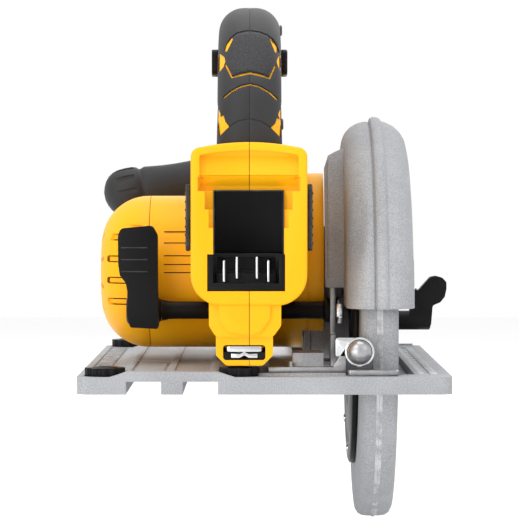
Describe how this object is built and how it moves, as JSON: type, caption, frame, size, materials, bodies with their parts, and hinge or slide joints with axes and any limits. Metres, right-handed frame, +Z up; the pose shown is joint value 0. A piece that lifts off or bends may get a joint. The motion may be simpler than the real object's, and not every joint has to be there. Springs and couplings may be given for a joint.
{
  "type": "circular saw",
  "caption": "Battery circular saw with a retracting lower guard, a tilting base, depth adjustment, a looped rear handle and a side handle.",
  "frame": {"origin": "centre of the flat underside of the base plate", "axes": "+X to the blade side, +Y in the cutting direction, +Z up"},
  "size_m": [0.1989, 0.29, 0.2686],
  "materials": {
    "cast_grey": "grainy die casting",
    "steel": "zinc plated and polished steel",
    "chrome": "chromed sheet steel",
    "dark_steel": "oiled ground steel",
    "yellow_plastic": "fine spark-eroded moulding",
    "grip_rubber": "soft stippled overmould",
    "black_plastic": "black glass-filled nylon",
    "copper": "enamelled windings",
    "board": "solder-masked circuit board"
  },
  "bodies": {
    "base": {"base_plate": "cast_grey", "rear_pivot_bracket": "steel", "rear_pivot_rivet": "chrome", "front_bevel_bracket": "cast_grey", "front_bevel_pin": "steel"},
    "bevel_clamp": {"bevel_clamp_rod": "steel", "bevel_lever": "black_plastic"},
    "rail_knob_rear_left": {"knob_rear_left": "black_plastic"},
    "rail_knob_rear_middle": {"knob_rear_middle": "black_plastic"},
    "rail_knob_front_left": {"knob_front_left": "black_plastic"},
    "rail_knob_front_middle": {"knob_front_middle": "black_plastic"},
    "carriage": {"bevel_frame": "steel", "depth_arc": "steel", "depth_pivot_pin": "steel"},
    "blade_drive": {"saw_blade": "steel", "spindle": "dark_steel", "driven_gear": "dark_steel", "inner_flange": "dark_steel", "outer_flange": "dark_steel", "blade_bolt": "dark_steel"},
    "rotor": {"rotor_shaft": "dark_steel", "rotor_core": "dark_steel", "cooling_fan": "black_plastic"},
    "retracting_guard": {"lower_guard": "cast_grey", "lower_guard_disc": "black_plastic"},
    "switch_trigger": {"trigger": "black_plastic"},
    "lock_off": {"lock_off_bar": "black_plastic", "lock_off_pad_right": "black_plastic"},
    "depth_clamp": {"depth_lever": "black_plastic", "clamp_bolt": "steel"},
    "lock_plunger": {"spindle_lock": "black_plastic"},
    "wrench": {"blade_wrench": "chrome"},
    "saw_body": {"upper_guard": "cast_grey", "lower_guard_spring": "steel", "gear_case": "cast_grey", "gear_cover": "cast_grey", "spindle_bearing_inner": "steel", "spindle_bearing_outer": "steel", "rotor_bearing_front": "steel", "rotor_bearing_rear": "steel", "stator": "copper", "motor_housing": "yellow_plastic", "motor_end_cap": "yellow_plastic", "housing_left": "yellow_plastic", "housing_right": "yellow_plastic", "handle_left": "grip_rubber", "handle_right": "grip_rubber", "switch_body": "black_plastic", "control_board": "board", "terminal_block": "black_plastic", "terminal_blade_1": "steel", "terminal_blade_2": "steel", "terminal_blade_3": "steel", "terminal_blade_4": "steel", "side_strip_left": "grip_rubber", "side_strip_right": "grip_rubber", "front_handle": "grip_rubber", "clamp_sleeve_left": "black_plastic", "clamp_sleeve_right": "black_plastic", "clamp_nut": "steel"}
  },
  "joints": [
    {"name": "bevel_tilt", "type": "hinge", "parent": "base", "child": "carriage", "pos_m": [0.047, -0.02, 0.02], "axis": [0, 1, 0], "range_deg": [0, 56]},
    {"name": "depth_pivot", "type": "hinge", "parent": "carriage", "child": "saw_body", "pos_m": [0.03, 0.1, 0.038], "axis": [-1, 0, 0], "range_deg": [0, 26]},
    {"name": "blade_spin", "type": "hinge", "parent": "saw_body", "child": "blade_drive", "pos_m": [0.0575, -0.02, 0.028], "axis": [1, 0, 0], "continuous": true},
    {"name": "rotor_spin", "type": "hinge", "parent": "saw_body", "child": "rotor", "pos_m": [0, -0.02, 0.0568], "axis": [1, 0, 0], "continuous": true},
    {"name": "lower_guard_swing", "type": "hinge", "parent": "saw_body", "child": "retracting_guard", "pos_m": [0.0575, -0.02, 0.028], "axis": [-1, 0, 0], "range_deg": [0, 100], "stiffness_Nm_per_rad": 0.25, "springref_deg": -34.38, "deforming": ["lower_guard_spring"]},
    {"name": "trigger_pull", "type": "hinge", "parent": "saw_body", "child": "switch_trigger", "pos_m": [-0.0075, -0.029, 0.1644], "axis": [-1, 0, 0], "range_deg": [0, 10], "stiffness_Nm_per_rad": 0.6, "springref_deg": -5.73},
    {"name": "lock_off_press", "type": "slide", "parent": "saw_body", "child": "lock_off", "axis": [0, 0, -1], "range_m": [0, 0.004], "stiffness_N_per_m": 400, "springref_m": -0.002},
    {"name": "depth_lever_turn", "type": "hinge", "parent": "saw_body", "child": "depth_clamp", "pos_m": [-0.06, -0.065, 0.038], "axis": [1, 0, 0], "range_deg": [0, 55]},
    {"name": "bevel_lever_turn", "type": "hinge", "parent": "base", "child": "bevel_clamp", "pos_m": [0.08, 0.1223, 0.0243], "axis": [-1, 0, 0], "range_deg": [0, 70]},
    {"name": "spindle_lock_press", "type": "slide", "parent": "saw_body", "child": "lock_plunger", "axis": [0, -1, 0], "range_m": [0, 0.0022], "stiffness_N_per_m": 600, "springref_m": -0.002},
    {"name": "wrench_slide", "type": "slide", "parent": "saw_body", "child": "wrench", "axis": [0, -1, 0], "range_m": [0, 0.06]},
    {"name": "rail_knob_rear_left_turn", "type": "hinge", "parent": "base", "child": "rail_knob_rear_left", "pos_m": [-0.0787, -0.132, 0.01], "axis": [0, 0, 1], "range_deg": [-90, 90]},
    {"name": "rail_knob_rear_middle_turn", "type": "hinge", "parent": "base", "child": "rail_knob_rear_middle", "pos_m": [-0.01245, -0.132, 0.01], "axis": [0, 0, 1], "range_deg": [-90, 90]},
    {"name": "rail_knob_front_left_turn", "type": "hinge", "parent": "base", "child": "rail_knob_front_left", "pos_m": [-0.0787, 0.132, 0.01], "axis": [0, 0, 1], "range_deg": [-90, 90]},
    {"name": "rail_knob_front_middle_turn", "type": "hinge", "parent": "base", "child": "rail_knob_front_middle", "pos_m": [-0.01245, 0.132, 0.01], "axis": [0, 0, 1], "range_deg": [-90, 90]}
  ],
  "couplings": [
    {"joint": "rotor_spin", "follows": "blade_spin", "ratio": -3}
  ]
}
